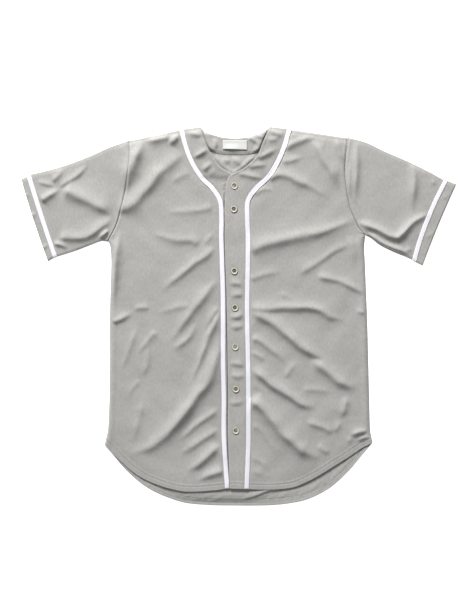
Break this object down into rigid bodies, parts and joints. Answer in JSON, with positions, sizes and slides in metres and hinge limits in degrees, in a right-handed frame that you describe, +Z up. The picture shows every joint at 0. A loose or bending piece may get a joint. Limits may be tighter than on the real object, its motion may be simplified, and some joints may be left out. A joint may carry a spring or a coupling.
{
  "type": "baseball jersey",
  "caption": "Short-sleeved button-front baseball jersey in plain grey knit with pale braid trim and curved shirt-tail hem, laid flat on its back.",
  "frame": {"origin": "on the surface that the jersey lies on, under the middle of its box", "axes": "+X towards the wearer's left sleeve, +Y towards the collar, +Z up from the surface through the back and the fronts"},
  "size_m": [0.8995, 0.7837, 0.0093],
  "materials": {
    "jersey_knit": "matte grey double knit",
    "braid": "off-white woven braid",
    "label_satin": "bare white woven satin",
    "button_plastic": "moulded polyester, satin"
  },
  "bodies": {
    "root": {"back": "jersey_knit", "neck_facing": "jersey_knit", "neck_label": "label_satin", "front_right": "jersey_knit", "front_left": "jersey_knit", "braid_front_right": "braid", "braid_front_left": "braid", "sleeve_right": "jersey_knit", "braid_sleeve_right": "braid", "sleeve_left": "jersey_knit", "braid_sleeve_left": "braid", "button_1": "button_plastic", "button_2": "button_plastic", "button_3": "button_plastic", "button_4": "button_plastic", "button_5": "button_plastic", "button_6": "button_plastic", "button_7": "button_plastic"}
  },
  "joints": []
}
